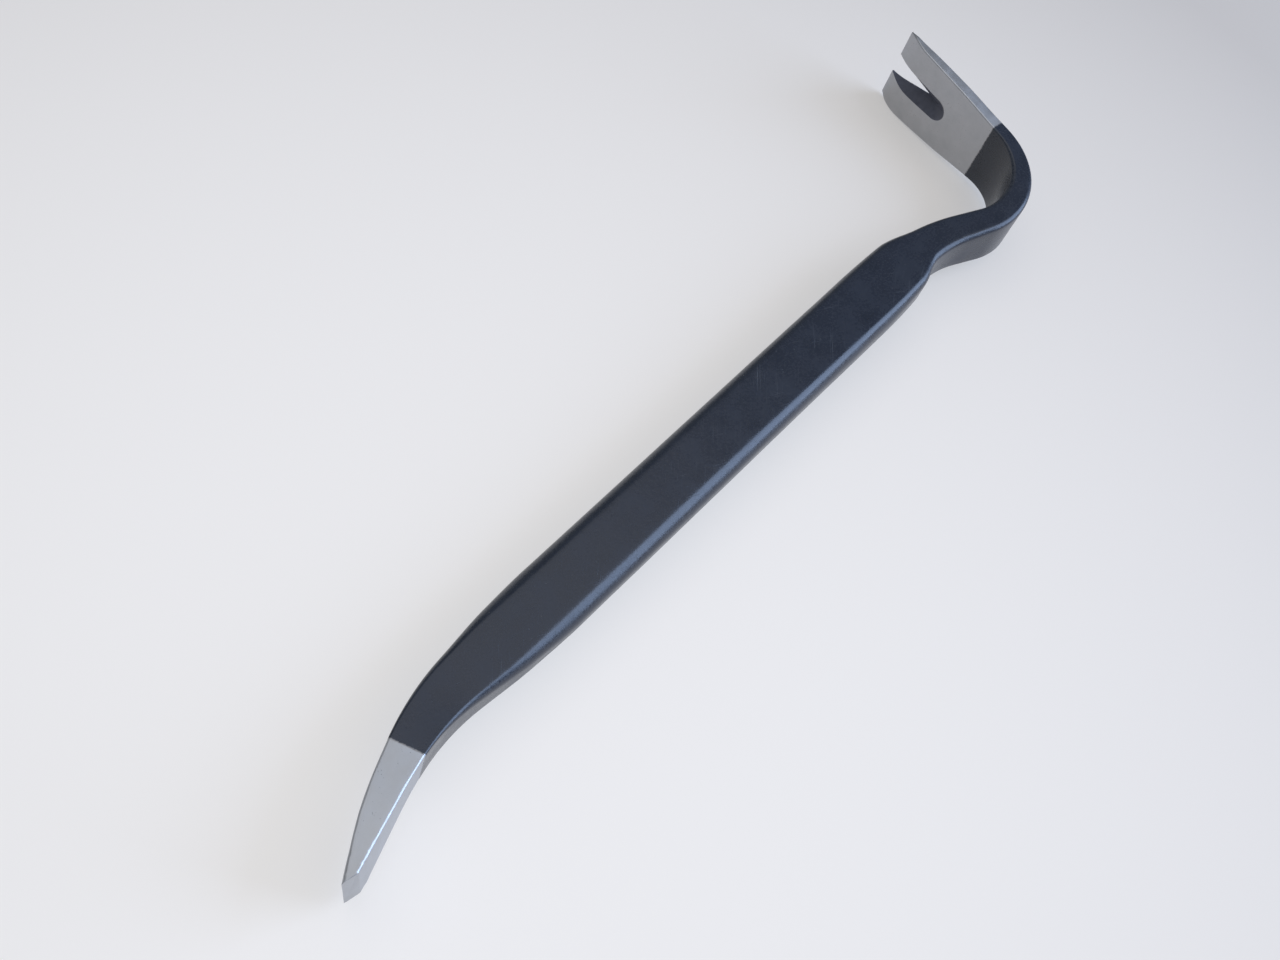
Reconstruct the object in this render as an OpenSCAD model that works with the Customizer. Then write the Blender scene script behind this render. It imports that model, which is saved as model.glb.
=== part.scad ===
// Pry bar with a chisel end, a straight shank, a falling neck, a hooked heel and a slotted claw.
// It lies on its side: X runs along the shank from the chisel to the claw, Y lies in the plane of
// the bends with the claw pointing to +Y, and Z runs across the width. Sizes are in millimetres.
// "Depth" is measured in the plane of the bends, "width" across it, and "length" along the middle
// line of the bar. The origin is under the middle of the bar, on the surface that it lies on.

/* [Chisel] */
// Length from the middle of the end bevel to the lacquer
blade_length = 37.5; // [32:0.5:60]
// Angle of the chisel's root to the shank
chisel_angle = 18.5; // [5:0.5:35]
// Further curve of the blade towards its tip, in degrees
blade_curve = 10.5; // [0:0.5:15]
// Twist of the blade's tip about its own length, in degrees
blade_twist = 4.5; // [0:0.5:8]
// Length of the thin nose behind the end bevel
nose_length = 6; // [4:0.5:9]
// Depth at the end bevel
tip_depth = 3.4; // [2.5:0.1:4.2]
// Depth where the nose ends
nose_depth = 5.1; // [4.4:0.1:6.8]
// Depth half way along the blade
blade_depth = 8.2; // [7:0.1:9.6]
// Depth where the lacquer starts
grind_depth = 10.9; // [9.7:0.1:13.5]
// Width of the cutting edge
tip_width = 24.5; // [19:0.5:32]
// Width half way along the blade
blade_width = 22; // [19:0.5:27]
// Width where the lacquer starts
grind_width = 18.5; // [15:0.5:22]
// Angle of the end bevel to the blade
bevel_angle = 41; // [35:1:70]
// Radius of the blade's ground edges
blade_edge = 0.7; // [0.3:0.1:1.5]

/* [Bend] */
// Length of the chisel bend
bend_length = 27; // [15:0.5:50]
// Depth at the end of the bend
bend_depth = 16.6; // [13.6:0.1:19]
// Width at the end of the bend
bend_width = 14; // [12:0.5:18]
// Corner radius at the end of the bend, measured along the depth
bend_corner_depth = 2; // [0.5:0.1:4]
// Corner radius at the end of the bend, measured along the width
bend_corner_width = 3; // [0.5:0.1:5]
// Length from the bend to the full shank
swell_length = 39; // [30:0.5:80]
// Depth half way from the bend to the full shank
swell_depth = 20.9; // [19.1:0.1:22]

/* [Shank] */
// Length of the shank at its full depth
shank_length = 153.5; // [80:1:300]
// Depth of the shank
shank_depth = 22.5; // [22.1:0.1:28]
// Width of the shank
shank_width = 13; // [10:0.5:16]
// Corner radius where the full shank begins, measured along its depth
swell_corner_depth = 5; // [1:0.5:6.5]
// Corner radius where the full shank ends, measured along its depth
shank_corner_depth = 3.2; // [1:0.1:5]
// Corner radius of the shank, measured along its width
shank_corner_width = 5.5; // [1:0.5:6.5]

/* [Neck] */
// Length over which the shank narrows to the neck
taper_length = 35; // [28:0.5:46]
// Depth past the middle of that length
taper_depth = 20.6; // [14.5:0.1:21.9]
// Length over which the middle line lifts before the neck
rise_length = 25; // [8:0.5:34]
// Lift of the middle line towards the claw's side, in degrees
neck_rise = 0.5; // [0:0.5:8]
// Angle at which the neck falls away from the claw's side
neck_angle = 24.5; // [10:0.5:35]
// Length of the neck's bend
neck_bend_length = 25; // [20:0.5:50]
// Length of the straight neck
neck_length = 10.5; // [6:0.5:30]
// Depth where the neck begins
neck_depth = 13.2; // [10.5:0.1:14.4]
// Width where the neck begins
neck_width = 15; // [13.5:0.5:18]
// Corner radius of the neck
neck_corner = 2.2; // [0.5:0.1:4]

/* [Heel] */
// Bend radius of the heel's middle line
heel_radius = 23.6; // [18:0.1:35]
// Depth where the heel begins
heel_depth = 9.8; // [8.6:0.1:12]
// Depth half way round the heel
heel_mid_depth = 7.9; // [6.2:0.1:9.2]
// Width where the heel begins
heel_start_width = 19; // [16:0.5:22]
// Width half way round the heel
heel_width = 23.5; // [20:0.5:26]
// Corner radius of the heel
heel_corner = 1.6; // [0.3:0.1:2.5]

/* [Claw] */
// Angle of the claw to the shank
claw_angle = 83.5; // [70:0.5:100]
// Outward curve of the claw's sharpened end, in degrees
claw_flick = 23; // [0:1:35]
// Length of the straight claw from the heel
claw_length = 38; // [34:0.5:60]
// Length of the claw's sharpened end
claw_edge_length = 11; // [8:0.5:16]
// Length of lacquered claw past the heel
claw_bare_start = 2.5; // [1:0.5:6]
// Depth where the claw begins
claw_root_depth = 5; // [4.5:0.1:6.1]
// Depth beside the round end of the nail slot
claw_depth = 4.4; // [3.7:0.1:4.9]
// Depth where the sharpened end begins
claw_front_depth = 3.5; // [2:0.1:3.6]
// Depth of the cutting edge
claw_edge_depth = 0.6; // [0.4:0.1:1.5]
// Width where the claw begins
claw_root_width = 27; // [24:0.5:30]
// Width beside the round end of the nail slot
claw_width = 31; // [28.5:0.5:33]
// Width where the claw is widest
claw_full_width = 33.5; // [33:0.5:40]
// Width of the cutting edge
claw_edge_width = 31.5; // [28:0.5:40]
// Length over which the claw's tips are rounded off
claw_corner = 4; // [2:0.5:7]
// Radius of the claw's long edges
claw_edge = 0.6; // [0.2:0.1:1]

/* [Nail slot] */
// Length of the slot on the inner face, from its round end to the mouth
slot_length = 28; // [22:0.5:32]
// Radius of the slot's round end on the inner face
slot_end_radius = 4.6; // [3:0.1:5.5]
// Width of the slot on the inner face where it is widest
slot_width = 10.4; // [7:0.1:13]
// Width of the slot at its mouth
slot_mouth = 8.8; // [6:0.1:13]
// Length of the slot's vee on the outer face
slot_vee_length = 18; // [12:0.5:20]

/* [Lacquer] */
// Thickness of the lacquer
lacquer_thickness = 0.1; // [0.05:0.01:0.3]

/* [Smoothness] */
// Steps round each corner of the bar
corner_steps = 4; // [2:1:6]
// Longest step along a bend
bend_step = 2.4; // [2:0.1:6]

/* [Hidden] */

// Share of the taper's length at which taper_depth holds
taper_middle = 0.6;
// Share of the slot's length, from its round end, at which it is widest
slot_widest = 0.65;
// Share of the claw's depth taken by the slot's sloping walls where it is cut right through
slot_wall_share = 0.92;
// Largest share of a section's size that one corner's radius may take
corner_limit = 0.46;
// Sections round a quarter of the slot's end
slot_end_steps = 5;
// Longest steps where the bar curves less, and along the shank
mild_step = bend_step * 1.5;
gentle_step = bend_step * 2;
straight_step = bend_step * 8;

// Landmarks along the middle line, as lengths from the middle of the chisel's end bevel
at_nose = nose_length;
at_grind = blade_length;
at_bend = at_grind + bend_length;
at_shank = at_bend + swell_length;
at_taper = at_shank + shank_length;
at_rise = at_taper + rise_length;
at_neck = at_rise + neck_bend_length;
at_heel = at_neck + neck_length;
at_claw = at_heel + heel_radius * (claw_angle + neck_angle) * PI / 180;
at_bare = at_claw + claw_bare_start;
at_edge = at_claw + claw_length;
at_end = at_edge + claw_edge_length;
at_slot = at_end - slot_length;
at_vee = at_end - slot_vee_length;

// Heading of the middle line at its landmarks, from +X; between two of them the line is an arc
HEADINGS = [
    [0, chisel_angle + blade_curve],
    [at_grind, chisel_angle],
    [at_bend, 0],
    [at_taper, 0],
    [at_rise, neck_rise],
    [at_neck, -neck_angle],
    [at_heel, -neck_angle],
    [at_claw, claw_angle],
    [at_edge, claw_angle],
    [at_end, claw_angle - claw_flick]
];

// Depth along the middle line
DEPTHS = [
    [0, tip_depth],
    [at_nose, nose_depth],
    [at_grind / 2, blade_depth],
    [at_grind, grind_depth],
    [at_bend, bend_depth],
    [at_bend + swell_length / 2, swell_depth],
    [at_shank, shank_depth],
    [at_taper, shank_depth],
    [at_taper + taper_length * taper_middle, taper_depth],
    [at_taper + taper_length, neck_depth],
    [at_heel, heel_depth],
    [(at_heel + at_claw) / 2, heel_mid_depth],
    [at_claw, claw_root_depth],
    [at_slot, claw_depth],
    [at_edge, claw_front_depth],
    [at_end, claw_edge_depth]
];

// Width along the middle line
WIDTHS = [
    [0, tip_width],
    [at_grind / 2, blade_width],
    [at_grind, grind_width],
    [at_bend, bend_width],
    [at_shank, shank_width],
    [at_taper, shank_width],
    [at_taper + taper_length, neck_width],
    [at_heel, heel_start_width],
    [(at_heel + at_claw) / 2, heel_width],
    [at_bare, claw_root_width],
    [at_slot, claw_width],
    [at_end - claw_corner, claw_full_width],
    [at_end, claw_edge_width]
];

// Corner radii along the middle line: [length, along the depth, along the width]
CORNERS = [
    [0, blade_edge, blade_edge],
    [at_grind, blade_edge, blade_edge],
    [at_bend, bend_corner_depth, bend_corner_width],
    [at_shank, swell_corner_depth, shank_corner_width],
    [at_taper, shank_corner_depth, shank_corner_width],
    [at_taper + taper_length, neck_corner, neck_corner],
    [(at_heel + at_claw) / 2, heel_corner, heel_corner],
    [at_bare, claw_edge, claw_edge],
    [at_end, claw_edge, claw_edge]
];

// Twist of the sections about the middle line
TWISTS = [
    [0, blade_twist],
    [at_grind, blade_twist / 3],
    [at_bend, 0],
    [at_end, 0]
];

// Half of the nail slot's width on the inner face, by the length from the slot's round end
SLOT_HALVES = [
    [slot_end_radius, slot_end_radius],
    [slot_length * slot_widest, slot_width / 2],
    [slot_length, slot_mouth / 2]
];

// Index of the stretch of a schedule that holds length s
function stretch(rows, s, i = 0) =
    i >= len(rows) - 2 || s < rows[i + 1][0] ? i : stretch(rows, s, i + 1);

// Slope of a schedule's column over one stretch
function slope(rows, i, column) =
    (rows[i + 1][column] - rows[i][column]) / (rows[i + 1][0] - rows[i][0]);

// Slope at a row: its only stretch's slope at the ends, and level where the slopes beside it
// differ in sign
function knot_slope(rows, i, column) =
    i == 0 || i == len(rows) - 1
    ? slope(rows, max(0, i - 1), column)
    : let (before = slope(rows, i - 1, column), after = slope(rows, i, column))
      before * after <= 0 ? 0 : 2 * before * after / (before + after);

// Smooth value of a schedule's column at length s
function smooth(rows, s, column = 1) =
    let (
        i = stretch(rows, s),
        span = rows[i + 1][0] - rows[i][0],
        t = (s - rows[i][0]) / span
    )
    rows[i][column] * (2 * t ^ 3 - 3 * t ^ 2 + 1)
    + rows[i + 1][column] * (3 * t ^ 2 - 2 * t ^ 3)
    + knot_slope(rows, i, column) * span * (t ^ 3 - 2 * t ^ 2 + t)
    + knot_slope(rows, i + 1, column) * span * (t ^ 3 - t ^ 2);

// Heading at length s
function heading(s) =
    let (i = stretch(HEADINGS, s))
    HEADINGS[i][1] + slope(HEADINGS, i, 1) * (s - HEADINGS[i][0]);

// Way that the middle line goes over a length on which its heading turns evenly
function arc_step(length, from, to) =
    abs(to - from) < 0.001
    ? length * [cos(from), sin(from)]
    : length / ((to - from) * PI / 180) * [sin(to) - sin(from), cos(from) - cos(to)];

// Point of the middle line at length s, from its own start
function middle(s, i = 0) =
    let (
        last = i >= len(HEADINGS) - 2 || s <= HEADINGS[i + 1][0],
        stop = last ? s : HEADINGS[i + 1][0],
        part = arc_step(stop - HEADINGS[i][0], HEADINGS[i][1], heading(stop))
    )
    last ? part : part + middle(s, i + 1);

// Points of a corner's quarter arc
function corner(centre, radii, start) = [
    for (k = [0 : corner_steps])
        let (angle = start + 90 * k / corner_steps)
        [centre[0] + radii[0] * cos(angle), centre[1] + radii[1] * sin(angle)]
];

// Corner radii at length s, limited by the section that they round
function corner_radii(s) = [
    min(smooth(CORNERS, s, 1), corner_limit * smooth(DEPTHS, s)),
    min(smooth(CORNERS, s, 2), corner_limit * smooth(WIDTHS, s))
];

// Section of the bar at length s, as [depth, width] points; grow adds to it all round
function section(s, grow = 0) =
    let (
        radii = corner_radii(s) + [grow, grow],
        inset = [smooth(DEPTHS, s), smooth(WIDTHS, s)] / 2 + [grow, grow] - radii
    )
    concat(
        corner([inset[0], inset[1]], radii, 0),
        corner([-inset[0], inset[1]], radii, 90),
        corner([-inset[0], -inset[1]], radii, 180),
        corner([inset[0], -inset[1]], radii, 270)
    );

// Half of the nail slot's width on the inner face at length s
function slot_half(s) =
    let (u = s - at_slot)
    u < slot_end_radius
    ? sqrt(max(0, slot_end_radius ^ 2 - (slot_end_radius - u) ^ 2))
    : smooth(SLOT_HALVES, u);

// Half of the nail slot's width on the outer face at length s
function vee_half(s) = slot_mouth / 2 * max(0, s - at_vee) / slot_vee_length;

// Share of the claw's depth that the slot's sloping end has cut through at length s
function slot_cut(s) = 1 - (max(0, at_vee - s) / (at_vee - at_slot)) ^ 2;

// Section of the upper claw tine at length s, from the slot to the bar's edge
function tine_section(s) =
    let (
        radii = corner_radii(s),
        half = smooth(DEPTHS, s) / 2,
        inset = [half, smooth(WIDTHS, s) / 2] - radii,
        floor = half * (1 - 2 * slot_wall_share * slot_cut(s))
    )
    concat(
        [[half, slot_half(s)]],
        corner([inset[0], inset[1]], radii, 0),
        corner([-inset[0], inset[1]], radii, 90),
        [[-half, vee_half(s)], [floor, vee_half(s)]]
    );

// Section points set across the middle line at length s; shear slants them along the line
function place(points, s, shear = 0) =
    let (at = middle(s), h = heading(s), twist = smooth(TWISTS, s))
    [
        for (p = points)
            let (
                across = p[0] * cos(twist) + p[1] * sin(twist),
                up = p[1] * cos(twist) - p[0] * sin(twist)
            )
            [
                at[0] - across * (sin(h) + shear * cos(h)),
                at[1] + across * (cos(h) - shear * sin(h)),
                up
            ]
    ];

// Even steps from one length to another, none longer than the given one
function steps(from, to, longest = bend_step) =
    let (count = ceil((to - from) / longest))
    [for (k = [0 : count]) from + (to - from) * k / count];

// A list without its first item
function rest(list) = [for (i = [1 : len(list) - 1]) list[i]];

// Lengths of the sections; neighbouring nodes share the section between them
BLADE_STEPS = steps(at_nose, at_grind, gentle_step);
BEND_STEPS = steps(at_grind, at_shank, mild_step);
SHANK_STEPS = steps(at_shank, at_taper, straight_step);
NECK_STEPS = steps(at_taper, at_heel);
HEEL_STEPS = steps(at_heel, at_bare);
PLATE_STEPS = steps(at_bare, at_slot, gentle_step);
TINE_STEPS = concat(
    [for (k = [0 : slot_end_steps]) at_slot + slot_end_radius * (1 - cos(90 * k / slot_end_steps))],
    rest(steps(at_slot + slot_end_radius, at_end))
);
COAT_STEPS = concat(BEND_STEPS, rest(SHANK_STEPS), rest(NECK_STEPS), rest(HEEL_STEPS));

BLADE_RINGS = concat(
    [place(section(0), 0, 1 / tan(bevel_angle))],
    [for (s = BLADE_STEPS) place(section(s), s)]
);
COAT_RINGS = [for (s = COAT_STEPS) place(section(s, lacquer_thickness), s)];
CLAW_RINGS = [for (s = TINE_STEPS) place(section(s), s)];

// Middle of the bar's extent in X and Y, and half of its extent in Z
EDGE_POINTS = [for (rings = [BLADE_RINGS, COAT_RINGS, CLAW_RINGS], ring = rings) each ring];
function span(axis) = let (all = [for (p = EDGE_POINTS) p[axis]]) [min(all), max(all)];
ORIGIN = [(span(0)[0] + span(0)[1]) / 2, (span(1)[0] + span(1)[1]) / 2, span(2)[0]];

// Triangles between the rings of a skin; inward turns them to face the middle line
function skin(rings, count, first = 0, inward = false) = [
    for (i = [0 : rings - 2], j = [0 : count - 1])
        let (
            a = first + i * count + j,
            b = first + i * count + (j + 1) % count,
            c = b + count,
            d = a + count
        )
        each inward ? [[a, b, c], [a, c, d]] : [[a, d, c], [a, c, b]]
];

// Solid through a list of rings, moved so that the bar lies on its origin
module loft(rings) {
    count = len(rings[0]);
    last = (len(rings) - 1) * count;
    translate(-ORIGIN)
        polyhedron(
            points = [for (ring = rings) each ring],
            faces = concat(
                skin(len(rings), count),
                [[for (j = [0 : count - 1]) j]],
                [[for (j = [count - 1 : -1 : 0]) last + j]]
            )
        );
}

// Solid length of the bar through its sections
module bar(lengths) {
    loft([for (s = lengths) place(section(s), s)]);
}

// Ground steel blade of the chisel, with its end bevel
module chisel_blade() {
    color("silver")
        loft(BLADE_RINGS);
}

// Bend behind the chisel, swelling into the shank
module chisel_bend() {
    color("dimgray")
        bar(BEND_STEPS);
}

// Straight shank
module shank() {
    color("dimgray")
        bar(SHANK_STEPS);
}

// Taper and neck, falling away to the heel
module neck() {
    color("dimgray")
        bar(NECK_STEPS);
}

// Heel, bent round to the claw
module heel() {
    color("dimgray")
        bar(HEEL_STEPS);
}

// Ground steel root of the claw, as far as the nail slot
module claw_plate() {
    color("silver")
        bar(PLATE_STEPS);
}

// Upper tine of the claw
module claw_tine_upper() {
    color("silver")
        loft([for (s = TINE_STEPS) place(tine_section(s), s)]);
}

// Lower tine, the mirror image of the upper one
module claw_tine_lower() {
    color("silver")
        translate([0, 0, -2 * ORIGIN[2]])
        mirror([0, 0, 1])
        loft([for (s = TINE_STEPS) place(tine_section(s), s)]);
}

// Lacquer from the chisel's ground blade to the claw's, lying on the steel
module lacquer_coat() {
    inner = [for (s = COAT_STEPS) place(section(s), s)];
    count = len(inner[0]);
    rings = len(inner);
    inside = rings * count;
    last = inside - count;
    color([0.13, 0.14, 0.17])
        translate(-ORIGIN)
        polyhedron(
            points = [for (ring = concat(COAT_RINGS, inner)) each ring],
            faces = concat(
                skin(rings, count),
                skin(rings, count, inside, true),
                [
                    for (j = [0 : count - 1])
                        let (k = (j + 1) % count)
                        [j, k, inside + k, inside + j]
                ],
                [
                    for (j = [0 : count - 1])
                        let (k = (j + 1) % count)
                        [last + k, last + j, inside + last + j, inside + last + k]
                ]
            )
        );
}

chisel_blade();
chisel_bend();
shank();
neck();
heel();
claw_plate();
claw_tine_upper();
claw_tine_lower();
lacquer_coat();
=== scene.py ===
import math

import bmesh
import bpy
import numpy as np
from mathutils import Matrix, Vector, noise


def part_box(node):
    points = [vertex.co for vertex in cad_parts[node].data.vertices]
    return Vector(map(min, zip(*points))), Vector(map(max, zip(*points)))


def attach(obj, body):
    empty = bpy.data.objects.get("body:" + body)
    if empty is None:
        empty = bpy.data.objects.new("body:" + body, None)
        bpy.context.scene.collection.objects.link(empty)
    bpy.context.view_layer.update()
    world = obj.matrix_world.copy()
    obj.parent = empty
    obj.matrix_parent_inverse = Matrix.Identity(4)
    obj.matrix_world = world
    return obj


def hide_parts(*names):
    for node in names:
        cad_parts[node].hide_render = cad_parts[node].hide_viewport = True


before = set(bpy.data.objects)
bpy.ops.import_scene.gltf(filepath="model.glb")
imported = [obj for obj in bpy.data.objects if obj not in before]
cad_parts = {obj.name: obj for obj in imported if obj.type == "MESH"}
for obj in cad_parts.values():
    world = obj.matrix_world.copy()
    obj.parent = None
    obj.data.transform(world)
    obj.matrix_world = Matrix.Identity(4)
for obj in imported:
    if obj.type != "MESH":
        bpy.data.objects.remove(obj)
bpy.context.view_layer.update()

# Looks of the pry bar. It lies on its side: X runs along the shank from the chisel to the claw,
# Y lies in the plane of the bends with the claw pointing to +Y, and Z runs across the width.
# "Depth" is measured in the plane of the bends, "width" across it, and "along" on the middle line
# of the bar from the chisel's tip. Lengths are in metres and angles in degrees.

# ---- Sizes of the bar, as in the CAD part ----

# Chisel
BLADE_LENGTH = 0.0375
CHISEL_ANGLE = 18.5
BLADE_CURVE = 10.5
BLADE_TWIST = 4.5
NOSE_LENGTH = 0.006
TIP_DEPTH = 0.0034
NOSE_DEPTH = 0.0051
BLADE_DEPTH = 0.0082
GRIND_DEPTH = 0.0109
TIP_WIDTH = 0.0245
BLADE_WIDTH = 0.022
GRIND_WIDTH = 0.0185
BEVEL_ANGLE = 41
BLADE_EDGE = 0.0007

# Bend behind the chisel
BEND_LENGTH = 0.027
BEND_DEPTH = 0.0166
BEND_WIDTH = 0.014
BEND_CORNER = (0.002, 0.003)
SWELL_LENGTH = 0.039
SWELL_DEPTH = 0.0209

# Shank
SHANK_LENGTH = 0.1535
SHANK_DEPTH = 0.0225
SHANK_WIDTH = 0.013
SWELL_CORNER = (0.005, 0.0055)
SHANK_CORNER = (0.0032, 0.0055)

# Neck
TAPER_LENGTH = 0.035
TAPER_MIDDLE = 0.6
TAPER_DEPTH = 0.0206
RISE_LENGTH = 0.025
NECK_RISE = 0.5
NECK_ANGLE = 24.5
NECK_BEND_LENGTH = 0.025
NECK_LENGTH = 0.0105
NECK_DEPTH = 0.0132
NECK_WIDTH = 0.015
NECK_CORNER = 0.0022

# Heel
HEEL_RADIUS = 0.0236
HEEL_DEPTH = 0.0098
HEEL_MID_DEPTH = 0.0079
HEEL_START_WIDTH = 0.019
HEEL_WIDTH = 0.0235
HEEL_CORNER = 0.0016

# Claw
CLAW_ANGLE = 83.5
CLAW_FLICK = 23
CLAW_LENGTH = 0.038
CLAW_EDGE_LENGTH = 0.011
CLAW_BARE_START = 0.0025
CLAW_ROOT_DEPTH = 0.005
CLAW_DEPTH = 0.0044
CLAW_FRONT_DEPTH = 0.0035
CLAW_EDGE_DEPTH = 0.0006
CLAW_ROOT_WIDTH = 0.027
CLAW_WIDTH = 0.031
CLAW_FULL_WIDTH = 0.0335
CLAW_EDGE_WIDTH = 0.0315
CLAW_CORNER = 0.004
CLAW_EDGE = 0.0006

# Nail slot
SLOT_LENGTH = 0.028
SLOT_END_RADIUS = 0.0046
SLOT_WIDTH = 0.0104
SLOT_WIDEST = 0.65
SLOT_MOUTH = 0.0088
SLOT_VEE_LENGTH = 0.018
SLOT_WALL_SHARE = 0.92

LACQUER = 0.0001

# Length over which the lacquer feathers out at its two ends
FEATHER = 0.0009

# Painted pool of light on the floor: where the floor is brightest, the distance at which it is
# dimmest, and its glow at both
GLOW_CENTRE = (-0.17, -0.01, 0)
GLOW_REACH = 0.5
GLOW_NEAR = 0.52
GLOW_FAR = 0.16

# Landmarks, as lengths along the middle line
AT_GRIND = BLADE_LENGTH
AT_BEND = AT_GRIND + BEND_LENGTH
AT_SHANK = AT_BEND + SWELL_LENGTH
AT_TAPER = AT_SHANK + SHANK_LENGTH
AT_RISE = AT_TAPER + RISE_LENGTH
AT_NECK = AT_RISE + NECK_BEND_LENGTH
AT_HEEL = AT_NECK + NECK_LENGTH
AT_CLAW = AT_HEEL + HEEL_RADIUS * math.radians(CLAW_ANGLE + NECK_ANGLE)
AT_BARE = AT_CLAW + CLAW_BARE_START
AT_EDGE = AT_CLAW + CLAW_LENGTH
AT_END = AT_EDGE + CLAW_EDGE_LENGTH
AT_SLOT = AT_END - SLOT_LENGTH
AT_VEE = AT_END - SLOT_VEE_LENGTH
MID_HEEL = (AT_HEEL + AT_CLAW) / 2


class Schedule:
    """A smooth curve through (length, value) rows that never overshoots them."""

    def __init__(self, *rows):
        self.at, self.value = np.array(rows, float).T
        rise = np.diff(self.value) / np.diff(self.at)
        before, after = rise[:-1], rise[1:]
        total = np.where(before * after > 0, before + after, 1)
        inner = np.where(before * after > 0, 2 * before * after / total, 0)
        self.slope = np.concatenate([rise[:1], inner, rise[-1:]])

    def __call__(self, s):
        i = np.clip(np.searchsorted(self.at, s, side="right") - 1, 0, len(self.at) - 2)
        span = self.at[i + 1] - self.at[i]
        t = (s - self.at[i]) / span
        return (
            self.value[i] * (2 * t**3 - 3 * t**2 + 1)
            + self.value[i + 1] * (3 * t**2 - 2 * t**3)
            + self.slope[i] * span * (t**3 - 2 * t**2 + t)
            + self.slope[i + 1] * span * (t**3 - t**2)
        )


class MiddleLine:
    """The bar's middle line: arcs and straights between (length, heading) rows."""

    def __init__(self, *rows):
        at, heading = np.array(rows, float).T
        self.at, self.turn = at, np.radians(heading)
        self.start = np.zeros((len(at), 2))
        for i in range(len(at) - 1):
            step = self.step(at[i + 1] - at[i], self.turn[i], self.turn[i + 1])
            self.start[i + 1] = self.start[i] + step

    @staticmethod
    def step(length, a, b):
        """Way gone over a length while the heading turns evenly from a to b."""
        half = (b - a) / 2
        chord = length * np.sinc(half / math.pi)
        return np.stack([chord * np.cos(a + half), chord * np.sin(a + half)], axis=-1)

    def heading(self, s):
        return np.interp(s, self.at, self.turn)

    def point(self, s):
        i = np.clip(np.searchsorted(self.at, s, side="right") - 1, 0, len(self.at) - 2)
        return self.start[i] + self.step(s - self.at[i], self.turn[i], self.heading(s))


LINE = MiddleLine(
    (0, CHISEL_ANGLE + BLADE_CURVE),
    (AT_GRIND, CHISEL_ANGLE),
    (AT_BEND, 0),
    (AT_TAPER, 0),
    (AT_RISE, NECK_RISE),
    (AT_NECK, -NECK_ANGLE),
    (AT_HEEL, -NECK_ANGLE),
    (AT_CLAW, CLAW_ANGLE),
    (AT_EDGE, CLAW_ANGLE),
    (AT_END, CLAW_ANGLE - CLAW_FLICK),
)

DEPTH = Schedule(
    (0, TIP_DEPTH),
    (NOSE_LENGTH, NOSE_DEPTH),
    (AT_GRIND / 2, BLADE_DEPTH),
    (AT_GRIND, GRIND_DEPTH),
    (AT_BEND, BEND_DEPTH),
    (AT_BEND + SWELL_LENGTH / 2, SWELL_DEPTH),
    (AT_SHANK, SHANK_DEPTH),
    (AT_TAPER, SHANK_DEPTH),
    (AT_TAPER + TAPER_LENGTH * TAPER_MIDDLE, TAPER_DEPTH),
    (AT_TAPER + TAPER_LENGTH, NECK_DEPTH),
    (AT_HEEL, HEEL_DEPTH),
    (MID_HEEL, HEEL_MID_DEPTH),
    (AT_CLAW, CLAW_ROOT_DEPTH),
    (AT_SLOT, CLAW_DEPTH),
    (AT_EDGE, CLAW_FRONT_DEPTH),
    (AT_END, CLAW_EDGE_DEPTH),
)

WIDTH = Schedule(
    (0, TIP_WIDTH),
    (AT_GRIND / 2, BLADE_WIDTH),
    (AT_GRIND, GRIND_WIDTH),
    (AT_BEND, BEND_WIDTH),
    (AT_SHANK, SHANK_WIDTH),
    (AT_TAPER, SHANK_WIDTH),
    (AT_TAPER + TAPER_LENGTH, NECK_WIDTH),
    (AT_HEEL, HEEL_START_WIDTH),
    (MID_HEEL, HEEL_WIDTH),
    (AT_BARE, CLAW_ROOT_WIDTH),
    (AT_SLOT, CLAW_WIDTH),
    (AT_END - CLAW_CORNER, CLAW_FULL_WIDTH),
    (AT_END, CLAW_EDGE_WIDTH),
)

CORNER_ROWS = (
    (0, BLADE_EDGE, BLADE_EDGE),
    (AT_GRIND, BLADE_EDGE, BLADE_EDGE),
    (AT_BEND, *BEND_CORNER),
    (AT_SHANK, *SWELL_CORNER),
    (AT_TAPER, *SHANK_CORNER),
    (AT_TAPER + TAPER_LENGTH, NECK_CORNER, NECK_CORNER),
    (MID_HEEL, HEEL_CORNER, HEEL_CORNER),
    (AT_BARE, CLAW_EDGE, CLAW_EDGE),
    (AT_END, CLAW_EDGE, CLAW_EDGE),
)
CORNER_LIMIT = 0.46
CORNER_DEPTH = Schedule(*[(at, depth) for at, depth, width in CORNER_ROWS])
CORNER_WIDTH = Schedule(*[(at, width) for at, depth, width in CORNER_ROWS])

TWIST = Schedule((0, BLADE_TWIST), (AT_GRIND, BLADE_TWIST / 3), (AT_BEND, 0), (AT_END, 0))

SLOT_HALF = Schedule(
    (SLOT_END_RADIUS, SLOT_END_RADIUS),
    (SLOT_LENGTH * SLOT_WIDEST, SLOT_WIDTH / 2),
    (SLOT_LENGTH, SLOT_MOUTH / 2),
)

# The CAD shank is straight, so the middle of its box ties these lengths to the row frame.
SHANK_LOW, SHANK_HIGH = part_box("shank")
SHANK_MIDDLE = LINE.point(np.array((AT_SHANK + AT_TAPER) / 2))
MOVE = np.array((SHANK_LOW + SHANK_HIGH) / 2) - np.array([*SHANK_MIDDLE, 0])


def corner_radii(s):
    """Corner radii at lengths s, along the depth and along the width."""
    return (
        np.minimum(CORNER_DEPTH(s), CORNER_LIMIT * DEPTH(s)),
        np.minimum(CORNER_WIDTH(s), CORNER_LIMIT * WIDTH(s)),
    )


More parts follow.
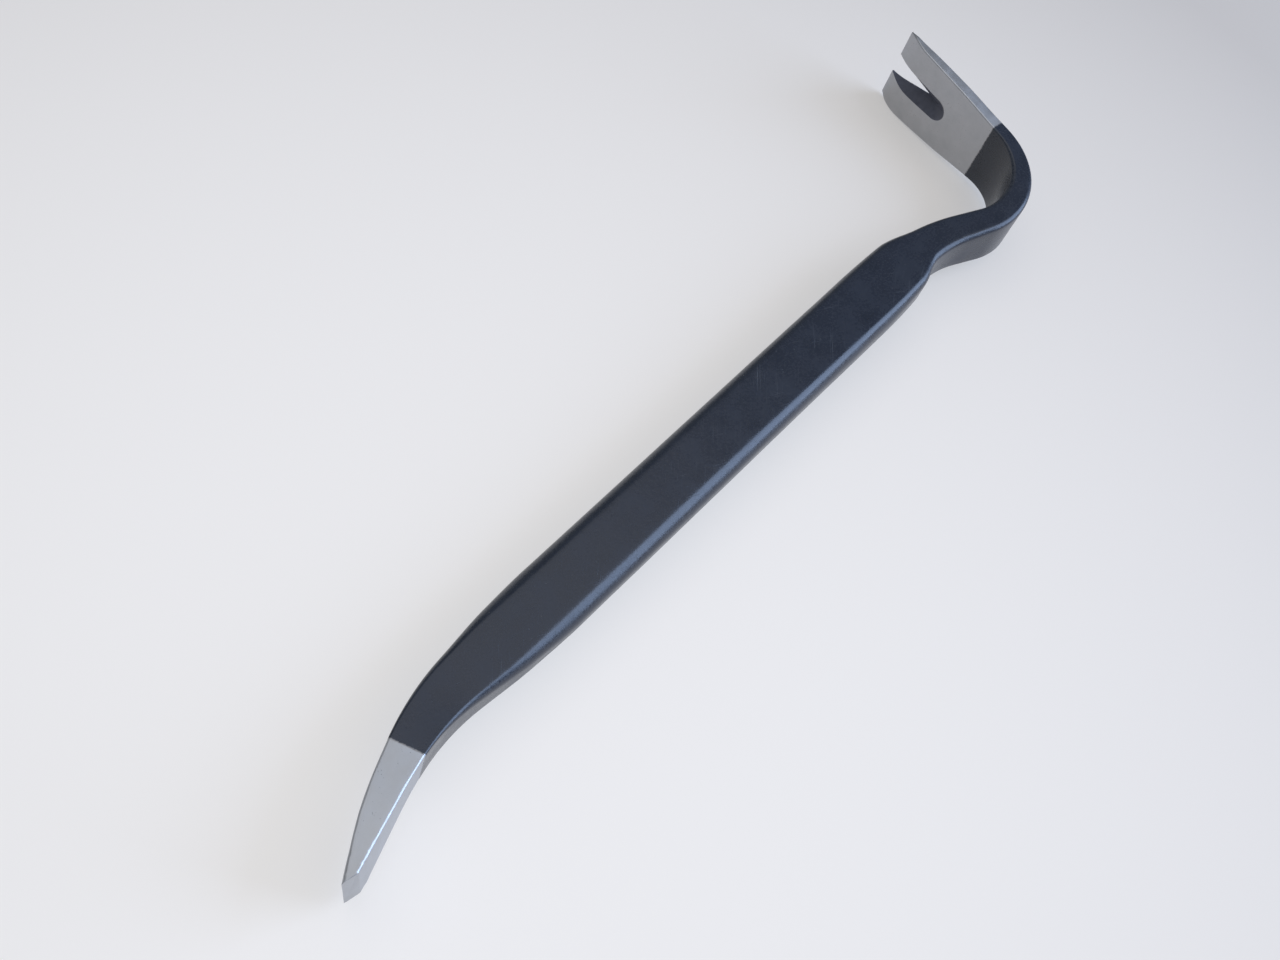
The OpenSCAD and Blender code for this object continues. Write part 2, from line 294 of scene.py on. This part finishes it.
def place(s, across, up, shear=0):
    """Points set across the middle line at lengths s. Shear slants them along the line."""
    at, h = LINE.point(s), LINE.heading(s)
    twist = np.radians(TWIST(s))
    turned = across * np.cos(twist) + up * np.sin(twist)
    lifted = up * np.cos(twist) - across * np.sin(twist)
    x = at[..., 0] - turned * (np.sin(h) + shear * np.cos(h))
    y = at[..., 1] + turned * (np.cos(h) - shear * np.sin(h))
    return np.stack([x, y, lifted], axis=-1) + MOVE


# ---- Meshes ----

CORNER_STEPS = 8
FLAT_STEPS = 6
COAT_STEP = 0.0012
GROUND_STEP = 0.0008
FACE_STEPS = 12
WALL_STEPS = 5

# Points closer than this are sewn together
WELD = 2e-6

# Hammered waviness of the forging: size of the waves and how deep they go
WAVE_LENGTH = 0.022
WAVE_DEPTH = 0.00012
RIPPLE_LENGTH = 0.006
RIPPLE_DEPTH = 0.00003

# Share of the waviness that the grinding leaves on the blade
GROUND_SHARE = 0.35

# Width of the eased rim round the blade's bevel
BEVEL_RIM = 0.00018

# Unevenness of the blade's long edges: lengths of the slow swings and of the nicks, how much the
# swings change the radius, and how far from the tip the nicks reach
SWING_LENGTH = 0.006
NICK_LENGTH = 0.0013
SWING_SHARE = 0.25
NICK_REACH = 0.02

# Faces across the flat of the claw's long edge
EDGE_STEPS = 3

# Edges that turn by more degrees than this stay sharp
SHARP_ANGLE = 35


def wave(point):
    """Share of the waviness at a point, from 0 to 1."""
    return 0.5 + 0.5 * noise.noise(point)


def ring(s, grow=0.0, rough=None):
    """Across and up of a section's points at lengths s, one row per length, going round from the
    middle of the +depth side. rough varies the corner radii."""
    depth, width = DEPTH(s) / 2 + grow, WIDTH(s) / 2 + grow
    radii = corner_radii(s)
    across, up = [], []
    for quarter in range(4):
        scale = 1 if rough is None else rough[quarter]
        r_depth, r_width = radii[0] * scale + grow, radii[1] * scale + grow
        side = (1, -1, -1, 1)[quarter]
        top = (1, 1, -1, -1)[quarter]
        centre = side * (depth - r_depth), top * (width - r_width)
        for k in range(CORNER_STEPS + 1):
            angle = math.radians(90 * (quarter + k / CORNER_STEPS))
            across.append(centre[0] + r_depth * math.cos(angle))
            up.append(centre[1] + r_width * math.sin(angle))
    return np.array(across).T, np.array(up).T


def with_flats(across, up):
    """The same sections with points added along their four flat sides."""
    count = across.shape[1]
    columns_a, columns_u = [], []
    for j in range(count):
        columns_a.append(across[:, j])
        columns_u.append(up[:, j])
        if (j + 1) % (CORNER_STEPS + 1) == 0:
            n = (j + 1) % count
            for k in range(1, FLAT_STEPS):
                t = k / FLAT_STEPS
                columns_a.append(across[:, j] * (1 - t) + across[:, n] * t)
                columns_u.append(up[:, j] * (1 - t) + up[:, n] * t)
    return np.array(columns_a).T, np.array(columns_u).T


def ridge_share():
    """How near each point of a section is to the middle of a corner, from 0 to 1."""
    flat = [0.0] * (FLAT_STEPS - 1)
    turn = [1 - abs(2 * k / CORNER_STEPS - 1) for k in range(CORNER_STEPS + 1)]
    return (turn + flat) * 4


def girth(across, up):
    """Distance round each section, from its first point back to it."""
    step = np.hypot(
        np.diff(across, axis=1, append=across[:, :1]), np.diff(up, axis=1, append=up[:, :1])
    )
    return np.concatenate([np.zeros((len(step), 1)), np.cumsum(step, axis=1)], axis=1)


def forged(s, across, up, share=1.0):
    """Sections pressed in a little by waves that run over the bar."""
    long, short = np.empty(across.shape), np.empty(across.shape)
    for i, j in np.ndindex(across.shape):
        p = Vector((s[i], across[i, j], up[i, j]))
        long[i, j] = wave(p / WAVE_LENGTH)
        short[i, j] = wave(p / RIPPLE_LENGTH)
    press = share * (WAVE_DEPTH * long + RIPPLE_DEPTH * short)
    size = np.hypot(across, up)
    keep = 1 - press / size
    return across * keep, up * keep


def finish_mesh(name, skin, *materials):
    """A smooth-shaded mesh object with a skin's points, faces, coordinates and finishes."""
    mesh = bpy.data.meshes.new(name)
    mesh.from_pydata([tuple(p) for p in skin.points], [], skin.faces)
    layer = mesh.uv_layers.new(name="Bar")
    layer.data.foreach_set("uv", np.array(skin.coords, np.float32).ravel())
    mesh.polygons.foreach_set("material_index", skin.finishes)
    if skin.ridges:
        mesh.attributes.new("ridge", "FLOAT", "POINT").data.foreach_set("value", skin.ridges)
    sewn = bmesh.new()
    sewn.from_mesh(mesh)
    bmesh.ops.remove_doubles(sewn, verts=sewn.verts, dist=WELD)
    bmesh.ops.recalc_face_normals(sewn, faces=sewn.faces)
    sewn.to_mesh(mesh)
    sewn.free()
    mesh.polygons.foreach_set("use_smooth", [True] * len(mesh.polygons))
    mesh.set_sharp_from_angle(angle=math.radians(SHARP_ANGLE))
    for material in materials:
        mesh.materials.append(material)
    obj = bpy.data.objects.new(name, mesh)
    bpy.context.scene.collection.objects.link(obj)
    return obj


def steps(start, stop, longest):
    """Even lengths from start to stop, none further apart than longest."""
    return np.linspace(start, stop, math.ceil((stop - start) / longest - 1e-9) + 1)


class Skin:
    """Points, faces and surface coordinates gathered for one mesh."""

    def __init__(self):
        self.points, self.faces, self.coords = [], [], []
        self.finishes, self.ridges = [], []
        self.finish = 0

    def add(self, rows):
        """Adds rows of points and returns their indices in the same shape."""
        rows = np.asarray(rows, float)
        start = len(self.points)
        self.points.extend(rows.reshape(-1, 3))
        return np.arange(start, start + rows.size // 3).reshape(rows.shape[:-1])

    def face(self, corners, coords):
        self.faces.append([int(c) for c in corners])
        self.finishes.append(self.finish)
        self.coords.extend(coords)

    def strip(self, index, along, around, closed=True, inward=False):
        """Faces over a grid of points. along and around are its coordinates, the second with
        one more column than the points where the grid closes on itself."""
        rows, count = index.shape
        for i in range(rows - 1):
            for j in range(count if closed else count - 1):
                n = (j + 1) % count
                corners = [index[i, j], index[i + 1, j], index[i + 1, n], index[i, n]]
                coords = [
                    (along[i, j], around[i, j]),
                    (along[i + 1, j], around[i + 1, j]),
                    (along[i + 1, n], around[i + 1, j + 1]),
                    (along[i, n], around[i, j + 1]),
                ]
                if inward:
                    corners, coords = corners[::-1], coords[::-1]
                self.face(corners, coords)


def coat_lengths():
    """Lengths of the sections between the two grind lines, closer where the bar bends more."""
    stretches = [
        steps(AT_GRIND, AT_SHANK, COAT_STEP),
        steps(AT_SHANK, AT_TAPER, 2 * COAT_STEP),
        steps(AT_TAPER, AT_HEEL, COAT_STEP),
        steps(AT_HEEL, AT_BARE, COAT_STEP / 2),
    ]
    return np.unique(np.concatenate(stretches))


def build_coat(material):
    """The lacquer: a closed skin from the chisel's grind line to the claw's."""
    s = coat_lengths()
    skin = Skin()
    layers = []
    for grow in (LACQUER, 0.0):
        across, up = forged(s, *with_flats(*ring(s, grow)))
        around = girth(across, up)
        along = np.repeat(s[:, None], across.shape[1], axis=1)
        index = skin.add(place(along, across, up))
        skin.ridges.extend(np.tile(ridge_share(), len(s)))
        layers.append((index, along, around))
    skin.strip(*layers[0])
    skin.strip(*layers[1], inward=True)
    for row, inward in ((0, True), (-1, False)):
        index = np.array([layers[0][0][row], layers[1][0][row]])
        along = np.array([layers[0][1][row]] * 2)
        around = np.array([layers[0][2][row]] * 2)
        skin.strip(index, along, around, inward=inward)
    return finish_mesh("lacquer_film", skin, material)


def build_zone(name, start, stop, material):
    """A length of the forged steel that lies under the lacquer, closed at both ends."""
    s = coat_lengths()
    s = s[(s > start - WELD) & (s < stop + WELD)]
    across, up = forged(s, *with_flats(*ring(s)))
    along = np.repeat(s[:, None], across.shape[1], axis=1)
    around = girth(across, up)
    skin = Skin()
    index = skin.add(place(along, across, up))
    skin.strip(index, along, around)
    skin.face(index[0][::-1], list(zip(across[0], up[0]))[::-1])
    skin.face(index[-1], list(zip(across[-1], up[-1])))
    return finish_mesh(name, skin, material)


def blade_roughness(s):
    """Hand-ground unevenness of the blade's four long edges, as a share of their radius."""
    rough = []
    for quarter in range(4):
        values = []
        for at in s:
            slow = noise.noise(Vector((at / SWING_LENGTH, 7.3 * quarter, 0)))
            fast = noise.noise(Vector((at / NICK_LENGTH, 3.1 * quarter, 5)))
            near_tip = max(0.0, 1 - at / NICK_REACH)
            values.append(1 + SWING_SHARE * slow + near_tip * max(0.0, fast))
        rough.append(np.array(values))
    return rough


def build_blade(material):
    """The ground chisel blade with its end bevel."""
    s = steps(0, AT_GRIND, GROUND_STEP)
    across, up = with_flats(*ring(s, 0.0, blade_roughness(s)))
    across, up = forged(s, across, up, GROUND_SHARE)
    slant = 1 / math.tan(math.radians(BEVEL_ANGLE)) * np.maximum(0, 1 - s / NOSE_LENGTH)
    along = np.repeat(s[:, None], across.shape[1], axis=1)
    around = girth(across, up)
    skin = Skin()
    points = place(along, across, up, slant[:, None])
    # The bevel's rim is eased: its outer ring steps back and an inner ring holds the facet
    centre = points[0].mean(axis=0)
    reach = np.linalg.norm(points[0] - centre, axis=1, keepdims=True)
    facet = points[0] + (centre - points[0]) * BEVEL_RIM / reach
    way = points[1] - points[0]
    points[0] += way / np.linalg.norm(way, axis=1, keepdims=True) * BEVEL_RIM
    index = skin.add(points)
    skin.strip(index, along, around)
    inner = skin.add(facet[None])[0]
    rim_along = np.array([along[0] - BEVEL_RIM, along[0]])
    skin.strip(np.array([inner, index[0]]), rim_along, np.array([around[0]] * 2))
    skin.face(inner[::-1], list(zip(across[0], up[0]))[::-1])
    back = skin.add(points[-1][None])[0]
    skin.face(back, list(zip(along[-1], around[-1])))
    return finish_mesh("ground_blade", skin, material)


def slot_depth_share(s):
    """Share of the claw's depth that the slot's sloping end has cut through at lengths s."""
    return 1 - (np.maximum(0, AT_VEE - s) / (AT_VEE - AT_SLOT)) ** 2


def vee_half(s):
    """Half of the slot's width on the outer face at lengths s."""
    return SLOT_MOUTH / 2 * np.maximum(0, s - AT_VEE) / SLOT_VEE_LENGTH


def between(a, b, count):
    """Points evenly spread from a to b, one row for each pair, ends included."""
    t = np.linspace(0, 1, count + 1)
    return a[:, None] * (1 - t) + b[:, None] * t


def claw_columns():
    """Lengths, on each of the claw's lines, of the columns that its half is made of: the slot's
    line on the inner face with its half width, the long edge, the outer face's line and the
    slot's bottom. The columns fan out round the slot's end. Also the first column of the slot and
    of the vee."""
    arc = SLOT_END_RADIUS * math.pi / 2
    lead = AT_SLOT - AT_BARE
    total = lead + arc + AT_END - AT_SLOT - SLOT_END_RADIUS
    knots = [0, lead, lead + arc, total]
    t = np.unique(np.concatenate([steps(a, b, GROUND_STEP) for a, b in zip(knots, knots[1:])]))
    turn = np.clip((t - lead) / SLOT_END_RADIUS, 0, math.pi / 2)
    past = np.maximum(0, t - lead - arc)
    inner = AT_BARE + np.minimum(t, lead) + SLOT_END_RADIUS * (1 - np.cos(turn)) + past
    half = np.where(past > 0, SLOT_HALF(inner - AT_SLOT), SLOT_END_RADIUS * np.sin(turn))
    edge = AT_BARE + t / total * (AT_END - AT_BARE)
    slot_start = int(np.argmin(abs(t - lead)))
    vee_start = int(np.argmin(abs(edge - AT_VEE)))
    outer = edge.copy()
    outer[vee_start] = AT_VEE
    bottom = outer.copy()
    fan = slice(slot_start, vee_start + 1)
    bottom[fan] = np.linspace(AT_SLOT, AT_VEE, vee_start + 1 - slot_start)
    return inner, half, edge, outer, bottom, slot_start, vee_start


def build_claw(steel, dark):
    """The ground claw with its nail slot: an upper half and its mirror image, sewn together.
    The slot's walls take the dark material, which is painted shade."""
    inner, half, edge, outer, bottom, slot_start, vee_start = claw_columns()
    depth, width = DEPTH(edge) / 2, WIDTH(edge) / 2
    r_depth, r_width = corner_radii(edge)

    # Inner face, from the middle or the slot to the long edge
    s = between(inner, edge, FACE_STEPS)
    up = between(half, width - r_width, FACE_STEPS)
    across = DEPTH(s) / 2
    # Long edge, round its two corners
    for side in (1, -1):
        if side > 0:
            angle = np.radians(90 * np.arange(1, CORNER_STEPS + 1) / CORNER_STEPS)
        else:
            angle = np.radians(90 + 90 * np.arange(0, CORNER_STEPS) / CORNER_STEPS)
        turn_a = side * (depth - r_depth)[:, None] + r_depth[:, None] * np.cos(angle)
        turn_u = (width - r_width)[:, None] + r_width[:, None] * np.sin(angle)
        if side < 0:
            flat = between(across[:, -1], turn_a[:, 0], EDGE_STEPS)[:, 1:-1]
            across = np.concatenate([across, flat], axis=1)
            up = np.concatenate([up, np.repeat(width[:, None], flat.shape[1], axis=1)], axis=1)
            s = np.concatenate([s, np.repeat(edge[:, None], flat.shape[1], axis=1)], axis=1)
        across = np.concatenate([across, turn_a], axis=1)
        up = np.concatenate([up, turn_u], axis=1)
        s = np.concatenate([s, np.repeat(edge[:, None], turn_a.shape[1], axis=1)], axis=1)
    # Outer face, back to the middle or the vee
    back_s = between(edge, outer, FACE_STEPS)
    back_up = between(width - r_width, vee_half(outer), FACE_STEPS)
    s = np.concatenate([s, back_s], axis=1)
    across = np.concatenate([across, -DEPTH(back_s) / 2], axis=1)
    up = np.concatenate([up, back_up], axis=1)

    skin = Skin()
    # Sloping wall of the slot, from its bottom line to the inner face
    cut = slice(slot_start, None)
    floor = DEPTH(bottom) / 2 * (1 - 2 * SLOT_WALL_SHARE * slot_depth_share(bottom))
    wall_s = between(inner[cut], bottom[cut], WALL_STEPS)
    wall_up = between(half[cut], vee_half(bottom[cut]), WALL_STEPS)
    wall_across = between(DEPTH(inner[cut]) / 2, floor[cut], WALL_STEPS)
    # Straight land below it, where the slot is cut right through
    through = slice(vee_start, None)
    land_s = between(bottom[through], outer[through], 1)
    land_up = between(vee_half(bottom[through]), vee_half(outer[through]), 1)
    land_across = between(floor[through], -DEPTH(outer[through]) / 2, 1)
    grids = [(s, across, up, False), (wall_s, wall_across, wall_up, True)]
    grids.append((land_s, land_across, land_up, True))
    for sign in (1, -1):
        for grid_s, grid_across, grid_up, inward in grids:
            skin.finish = int(inward)
            index = skin.add(place(grid_s, grid_across, sign * grid_up))
            round_it = (grid_up + grid_across) * sign
            skin.strip(index, grid_s, round_it, closed=False, inward=inward == (sign > 0))
        skin.finish = 0
        # Flat end of the tine
        ring_s = np.concatenate([s[-1], land_s[-1][:0:-1], wall_s[-1][:0:-1]])
        ring_a = np.concatenate([across[-1], land_across[-1][:0:-1], wall_across[-1][:0:-1]])
        ring_u = np.concatenate([up[-1], land_up[-1][:0:-1], wall_up[-1][:0:-1]])
        index = skin.add(place(ring_s, ring_a, sign * ring_u))
        coords = list(zip(ring_s + ring_a, sign * ring_u))
        order = slice(None, None, -1 if sign > 0 else 1)
        skin.face(index[order], coords[order])
    # Section that meets the lacquered heel
    root_a = np.concatenate([across[0], across[0][::-1]])
    root_u = np.concatenate([up[0], -up[0][::-1]])
    index = skin.add(place(np.full(root_a.shape, AT_BARE), root_a, root_u))
    skin.face(index, list(zip(root_a, root_u)))
    return finish_mesh("ground_claw", skin, steel, dark)


# ---- Materials ----


class Nodes:
    """Short ways to make and link a material's nodes."""

    def __init__(self, name):
        self.material = bpy.data.materials.new(name)
        self.material.use_nodes = True
        self.tree = self.material.node_tree
        self.shader = self.tree.nodes["Principled BSDF"]
        self.place = self.node("ShaderNodeTexCoord").outputs["Object"]
        self.bar = self.node("ShaderNodeUVMap", uv_map="Bar").outputs["UV"]

    def node(self, kind, **settings):
        made = self.tree.nodes.new(kind)
        for key, value in settings.items():
            setattr(made, key, value)
        return made

    def put(self, socket, value):
        """Links a socket to an output, or sets it to a constant."""
        if isinstance(value, bpy.types.NodeSocket):
            self.tree.links.new(value, socket)
        else:
            socket.default_value = value

    def fixed(self, **values):
        """Sets the shader's own sockets, with _ for a space in their names."""
        for key, value in values.items():
            self.shader.inputs[key.replace("_", " ")].default_value = value

    def stretched(self, source, scale, turn):
        """Coordinates turned about their third axis by some degrees, then scaled."""
        turned = self.node("ShaderNodeMapping")
        self.put(turned.inputs["Vector"], source)
        turned.inputs["Rotation"].default_value = (0, 0, math.radians(turn))
        scaled = self.node("ShaderNodeMapping")
        self.put(scaled.inputs["Vector"], turned.outputs["Vector"])
        scaled.inputs["Scale"].default_value = scale
        return scaled.outputs["Vector"]

    def noise(self, source, scale, detail, roughness=0.55):
        made = self.node("ShaderNodeTexNoise")
        self.put(made.inputs["Vector"], source)
        made.inputs["Scale"].default_value = scale
        made.inputs["Detail"].default_value = detail
        made.inputs["Roughness"].default_value = roughness
        return made.outputs["Fac"]

    def cells(self, source, scale):
        """Distance from the nearest of the points scattered over the coordinates."""
        made = self.node("ShaderNodeTexVoronoi")
        self.put(made.inputs["Vector"], source)
        made.inputs["Scale"].default_value = scale
        return made.outputs["Distance"]

    def span(self, value, low, high, to_low=0.0, to_high=1.0):
        """Maps low..high to to_low..to_high, and holds the ends beyond them."""
        made = self.node("ShaderNodeMapRange")
        self.put(made.inputs["Value"], value)
        for name, number in (
            ("From Min", low),
            ("From Max", high),
            ("To Min", to_low),
            ("To Max", to_high),
        ):
            made.inputs[name].default_value = number
        return made.outputs["Result"]

    def math(self, operation, a, b):
        made = self.node("ShaderNodeMath", operation=operation)
        self.put(made.inputs[0], a)
        self.put(made.inputs[1], b)
        return made.outputs["Value"]

    def mix(self, share, a, b):
        """Blend of two colours."""
        made = self.node("ShaderNodeMix", data_type="RGBA")
        self.put(made.inputs["Factor"], share)
        self.put(made.inputs["A"], a if isinstance(a, bpy.types.NodeSocket) else (*a, 1))
        self.put(made.inputs["B"], b if isinstance(b, bpy.types.NodeSocket) else (*b, 1))
        return made.outputs["Result"]

    def along(self):
        """Length along the bar."""
        made = self.node("ShaderNodeSeparateXYZ")
        self.put(made.inputs["Vector"], self.bar)
        return made.outputs["X"]

    def relief(self, height, depth):
        """Bumps of the given depth in metres."""
        made = self.node("ShaderNodeBump")
        self.put(made.inputs["Height"], height)
        made.inputs["Distance"].default_value = depth
        self.put(self.shader.inputs["Normal"], made.outputs["Normal"])

    def scratches(self, turn, threshold, fine=2600.0, long=55.0):
        """Thin straight marks that run at an angle to the bar."""
        lines = self.noise(self.stretched(self.bar, (long, fine, 1), turn), 1, 2)
        return self.span(lines, threshold, threshold + 0.08)


def ground_steel(name, light, dark, grain_turn, smooth, dull):
    """Bright steel with fine belt-grinding lines, a mottled sheen, dark pits and stray marks.
    grain_turn turns its lines, and its roughness runs from smooth to dull."""
    n = Nodes(name)
    grain = n.noise(n.stretched(n.bar, (90, 5200, 1), grain_turn), 1, 4, 0.65)
    cloud = n.noise(n.place, 190, 4)
    marks = n.scratches(grain_turn + 24, 0.66, 1900, 140)
    pits = n.math("MULTIPLY", n.span(n.cells(n.place, 1100), 0.16, 0.1), n.span(cloud, 0.5, 0.62))
    tone = n.math("MULTIPLY", n.span(cloud, 0.3, 0.7), n.span(grain, 0.2, 0.8, 0.75, 1))
    colour = n.mix(tone, dark, light)
    colour = n.mix(n.math("MULTIPLY", marks, 0.25), colour, light)
    colour = n.mix(n.math("MULTIPLY", pits, 0.75), colour, tuple(0.3 * c for c in dark))
    n.put(n.shader.inputs["Base Color"], colour)
    n.fixed(Metallic=1.0)
    uneven = n.span(grain, 0.2, 0.8, -0.05, 0.07)
    rough = n.math("ADD", n.span(cloud, 0.3, 0.7, smooth, dull), uneven)
    n.put(n.shader.inputs["Roughness"], rough)
    height = n.math("ADD", grain, n.math("MULTIPLY", n.math("ADD", marks, pits), -0.8))
    n.relief(height, 0.000012)
    return n.material


def slot_wall_painted_shade(name):
    """Painted shade for the nail slot's walls: a dark, bluish steel that stands in for the shade deep
    in the slot.
    """
    n = Nodes(name)
    cloud = n.noise(n.place, 420, 5, 0.6)
    n.put(n.shader.inputs["Base Color"], n.mix(cloud, (0.032, 0.036, 0.052), (0.1, 0.105, 0.14)))
    n.put(n.shader.inputs["Roughness"], n.span(cloud, 0.3, 0.7, 0.38, 0.6))
    n.relief(n.noise(n.place, 1500, 4), 0.00004)
    return n.material


def forged_steel(name):
    """Raw forged steel, as under the lacquer: grey, scaly and dull."""
    n = Nodes(name)
    cloud = n.noise(n.place, 240, 5, 0.6)
    scale = n.span(n.noise(n.place, 900, 4), 0.45, 0.6)
    n.put(n.shader.inputs["Base Color"], n.mix(cloud, (0.11, 0.11, 0.12), (0.26, 0.255, 0.25)))
    n.fixed(Metallic=1.0)
    n.put(n.shader.inputs["Roughness"], n.math("ADD", 0.42, n.math("MULTIPLY", scale, 0.18)))
    n.relief(scale, 0.00003)
    return n.material


def lacquer(name):
    """Glossy blue-black lacquer with fine handling scratches, scuffs, pits and worn ridges."""
    n = Nodes(name)
    cloud = n.noise(n.place, 120, 4)
    speckle = n.noise(n.place, 1400, 3)
    patches = n.span(n.noise(n.place, 70, 3), 0.42, 0.62)
    fine = n.math("MAXIMUM", n.scratches(38, 0.63), n.scratches(-27, 0.66, 3100, 70))
    fine = n.math("MULTIPLY", fine, patches)
    pits = n.span(n.cells(n.place, 520), 0.1, 0.05)
    pits = n.math("MULTIPLY", pits, n.span(n.noise(n.place, 160, 2), 0.52, 0.6))
    edge = n.node("ShaderNodeAttribute", attribute_name="ridge").outputs["Fac"]
    worn = n.math("MULTIPLY", n.span(edge, 0.55, 1), n.span(speckle, 0.42, 0.62))
    colour = n.mix(n.span(cloud, 0.3, 0.7), (0.0085, 0.0135, 0.0255), (0.0135, 0.02, 0.0345))
    specks = n.math("MULTIPLY", n.span(speckle, 0.45, 0.7), 0.4)
    colour = n.mix(specks, colour, (0.024, 0.03, 0.044))
    colour = n.mix(n.math("MULTIPLY", fine, 0.55), colour, (0.07, 0.08, 0.1))
    colour = n.mix(n.math("MULTIPLY", worn, 0.5), colour, (0.06, 0.068, 0.082))
    colour = n.mix(n.math("MULTIPLY", pits, 0.7), colour, (0.1, 0.105, 0.115))
    # The film feathers out to steel at its two ground ends
    start = n.span(n.along(), AT_GRIND, AT_GRIND + FEATHER, 1, 0)
    stop = n.span(n.along(), AT_BARE - FEATHER, AT_BARE)
    ragged = n.math("ADD", n.math("MAXIMUM", start, stop), n.math("SUBTRACT", speckle, 0.5))
    bare = n.span(ragged, 0.55, 0.95)
    colour = n.mix(bare, colour, (0.3, 0.3, 0.31))
    n.put(n.shader.inputs["Base Color"], colour)
    n.put(n.shader.inputs["Metallic"], bare)
    rough = n.math("ADD", n.span(cloud, 0.3, 0.7, 0.22, 0.3), n.span(speckle, 0.4, 0.7, 0, 0.06))
    rough = n.math("ADD", rough, n.math("MULTIPLY", n.math("MAXIMUM", fine, worn), 0.16))
    n.put(n.shader.inputs["Roughness"], rough)
    orange_peel = n.noise(n.place, 480, 2)
    dents = n.math("MULTIPLY", n.math("ADD", fine, n.math("MULTIPLY", pits, 2)), -0.5)
    n.relief(n.math("ADD", orange_peel, dents), 0.00004)
    return n.material


def floor_with_painted_glow(name):
    """A white surface with painted light: it glows a little, as an overexposed table looks, so shadows
    stay faint.
    The glow is a painted pool of light that dims with the distance from the chisel's end."""
    n = Nodes(name)
    n.fixed(Base_Color=(0.42, 0.375, 0.335, 1), Roughness=0.9, Emission_Color=(0.95, 0.97, 1, 1))
    away = n.node("ShaderNodeVectorMath", operation="DISTANCE")
    n.put(away.inputs[0], n.place)
    away.inputs[1].default_value = GLOW_CENTRE
    squared = n.math("POWER", away.outputs["Value"], 2)
    n.put(n.shader.inputs["Emission Strength"], n.span(squared, 0, GLOW_REACH**2, GLOW_NEAR, GLOW_FAR))
    return n.material


# ---- Object ----

blade = build_blade(
    ground_steel("ground_steel_blade", (0.5, 0.51, 0.53), (0.43, 0.44, 0.46), 0, 0.42, 0.54)
)
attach(blade, "root")
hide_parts("chisel_blade")

coat = build_coat(lacquer("black_lacquer"))
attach(coat, "root")
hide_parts("lacquer_coat")

# The claw's ground steel gets darker colours than the blade's: painted shade for the claw's darker
# look beside the shadowed floor
claw = build_claw(
    ground_steel("ground_steel_claw", (0.46, 0.465, 0.485), (0.385, 0.395, 0.415), 90, 0.38, 0.48),
    # Dark material on the slot's walls: painted shade for the recess of the slot
    slot_wall_painted_shade("slot_wall_painted_shade"),
)
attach(claw, "root")
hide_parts("claw_plate", "claw_tine_upper", "claw_tine_lower")

steel = forged_steel("forged_steel")
ZONES = {
    "chisel_bend": (AT_GRIND, AT_SHANK),
    "shank": (AT_SHANK, AT_TAPER),
    "neck": (AT_TAPER, AT_HEEL),
    "heel": (AT_HEEL, AT_BARE),
}
for node, (start, stop) in ZONES.items():
    zone = build_zone("forged_" + node, start, stop, steel)
    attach(zone, "root")
    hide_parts(node)

# ---- Floor, light and camera ----

FLOOR_SIZE = 8.0
floor_mesh = bpy.data.meshes.new("floor")
half = FLOOR_SIZE / 2
floor_mesh.from_pydata(
    [(-half, -half, 0), (half, -half, 0), (half, half, 0), (-half, half, 0)], [], [(0, 1, 2, 3)]
)
# The floor glows with painted light, brightest near the chisel's end
floor_mesh.materials.append(floor_with_painted_glow("floor_with_painted_glow"))
floor = bpy.data.objects.new("floor", floor_mesh)
bpy.context.scene.collection.objects.link(floor)

CAMERA_AT = (-0.28252, -0.09839, 0.45320)
CAMERA_RIGHT = (0.63753, -0.73679, 0.22514)
CAMERA_DOWN = (-0.58826, -0.65425, -0.47530)
SENSOR_WIDTH = 36
LENS = 47.81
camera_data = bpy.data.cameras.new("camera")
camera_data.sensor_width = SENSOR_WIDTH
camera_data.lens = LENS
camera = bpy.data.objects.new("camera", camera_data)
right = Vector(CAMERA_RIGHT).normalized()
up = -Vector(CAMERA_DOWN).normalized()
back = right.cross(up).normalized()
up = back.cross(right)
facing = Matrix((right, up, back)).transposed().to_4x4()
camera.matrix_world = Matrix.Translation(CAMERA_AT) @ facing
bpy.context.scene.collection.objects.link(camera)
bpy.context.scene.camera = camera


def area_light(name, at, towards, size, power, colour):
    data = bpy.data.lights.new(name, "AREA")
    data.shape = "RECTANGLE"
    data.size, data.size_y = size
    data.energy = power
    data.color = colour
    light = bpy.data.objects.new(name, data)
    light.location = at
    light.rotation_euler = (Vector(towards) - Vector(at)).to_track_quat("-Z", "Y").to_euler()
    bpy.context.scene.collection.objects.link(light)


area_light("overhead", (0, -0.05, 1.05), (-0.05, -0.05, 0), (1.7, 1.2), 5.5, (1, 0.99, 0.99))
area_light("window", (0.85, -1.05, 0.72), (0.05, 0, 0.1), (1.1, 1.4), 28, (0.52, 0.68, 1))

world = bpy.data.worlds.new("studio")
world.use_nodes = True
background = world.node_tree.nodes["Background"]
background.inputs["Color"].default_value = (0.88, 0.93, 1, 1)
background.inputs["Strength"].default_value = 0.3
bpy.context.scene.world = world
bpy.context.scene.view_settings.view_transform = "Standard"
